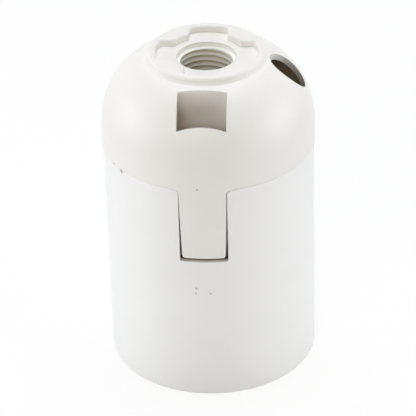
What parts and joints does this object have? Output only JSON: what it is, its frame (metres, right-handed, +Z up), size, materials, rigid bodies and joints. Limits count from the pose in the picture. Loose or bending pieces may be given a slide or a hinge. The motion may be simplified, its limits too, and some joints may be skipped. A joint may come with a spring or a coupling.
{
  "type": "lamp holder",
  "caption": "White snap-together plastic lamp holder with a domed cap, cross-recessed threaded entry, latch tongues and a plain round casing.",
  "frame": {"origin": "centre of the casing's open rim, on the surface that the holder stands on", "axes": "+Z up along the holder's axis towards the threaded entry; the latch tongues and windows face -Y and +Y; the cable hole is on the +X shoulder"},
  "size_m": [0.0364, 0.0364, 0.058],
  "materials": {
    "cap_plastic": "white moulded thermoplastic, a little warm, satin",
    "casing_plastic": "white moulded thermoplastic, satin",
    "inner_plastic": "white heat-resistant moulding, matt",
    "terminal_brass": "stamped brass",
    "contact_bronze": "spring bronze strip",
    "plated_steel": "zinc-plated steel"
  },
  "bodies": {
    "holder": {"casing": "casing_plastic", "cap": "cap_plastic", "lamp_sleeve": "inner_plastic", "contact_carrier": "inner_plastic", "live_strap": "terminal_brass", "neutral_strap": "terminal_brass", "centre_contact_rivet": "terminal_brass", "side_contact_1_rivet": "terminal_brass", "side_contact_2_rivet": "terminal_brass"},
    "centre_contact": {"centre_contact": "contact_bronze"},
    "side_contact_1": {"side_contact_1": "contact_bronze"},
    "side_contact_2": {"side_contact_2": "contact_bronze"},
    "live_plate": {"live_clamp_plate": "plated_steel"},
    "live_screw": {"live_terminal_screw": "plated_steel"},
    "neutral_plate": {"neutral_clamp_plate": "plated_steel"},
    "neutral_screw": {"neutral_terminal_screw": "plated_steel"}
  },
  "joints": [
    {"name": "centre_contact_flex", "type": "hinge", "parent": "holder", "child": "centre_contact", "pos_m": [0.00509, -0.00509, 0.03305], "axis": [0.7071, 0.7071, 0], "range_deg": [0, 7], "stiffness_Nm_per_rad": 0.2},
    {"name": "side_contact_1_flex", "type": "hinge", "parent": "holder", "child": "side_contact_1", "pos_m": [-0.00806, 0.00806, 0.03305], "axis": [0.7071, 0.7071, 0], "range_deg": [0, 5], "stiffness_Nm_per_rad": 0.15},
    {"name": "side_contact_2_flex", "type": "hinge", "parent": "holder", "child": "side_contact_2", "pos_m": [-0.00806, -0.00806, 0.03305], "axis": [-0.7071, 0.7071, 0], "range_deg": [0, 5], "stiffness_Nm_per_rad": 0.15},
    {"name": "live_plate_travel", "type": "slide", "parent": "holder", "child": "live_plate", "axis": [0, 0, 1], "range_m": [-0.0015, 0]},
    {"name": "live_screw_turn", "type": "hinge", "parent": "live_plate", "child": "live_screw", "pos_m": [0.0093, 0, 0.0427], "axis": [0, 0, 1], "range_deg": [-1081, 0]},
    {"name": "neutral_plate_travel", "type": "slide", "parent": "holder", "child": "neutral_plate", "axis": [0, 0, 1], "range_m": [-0.0015, 0]},
    {"name": "neutral_screw_turn", "type": "hinge", "parent": "neutral_plate", "child": "neutral_screw", "pos_m": [-0.0093, 0, 0.0427], "axis": [0, 0, 1], "range_deg": [-1081, 0]}
  ],
  "couplings": [
    {"joint": "live_screw_turn", "follows": "live_plate_travel", "rad_per_m": 12566},
    {"joint": "neutral_screw_turn", "follows": "neutral_plate_travel", "rad_per_m": 12566}
  ]
}
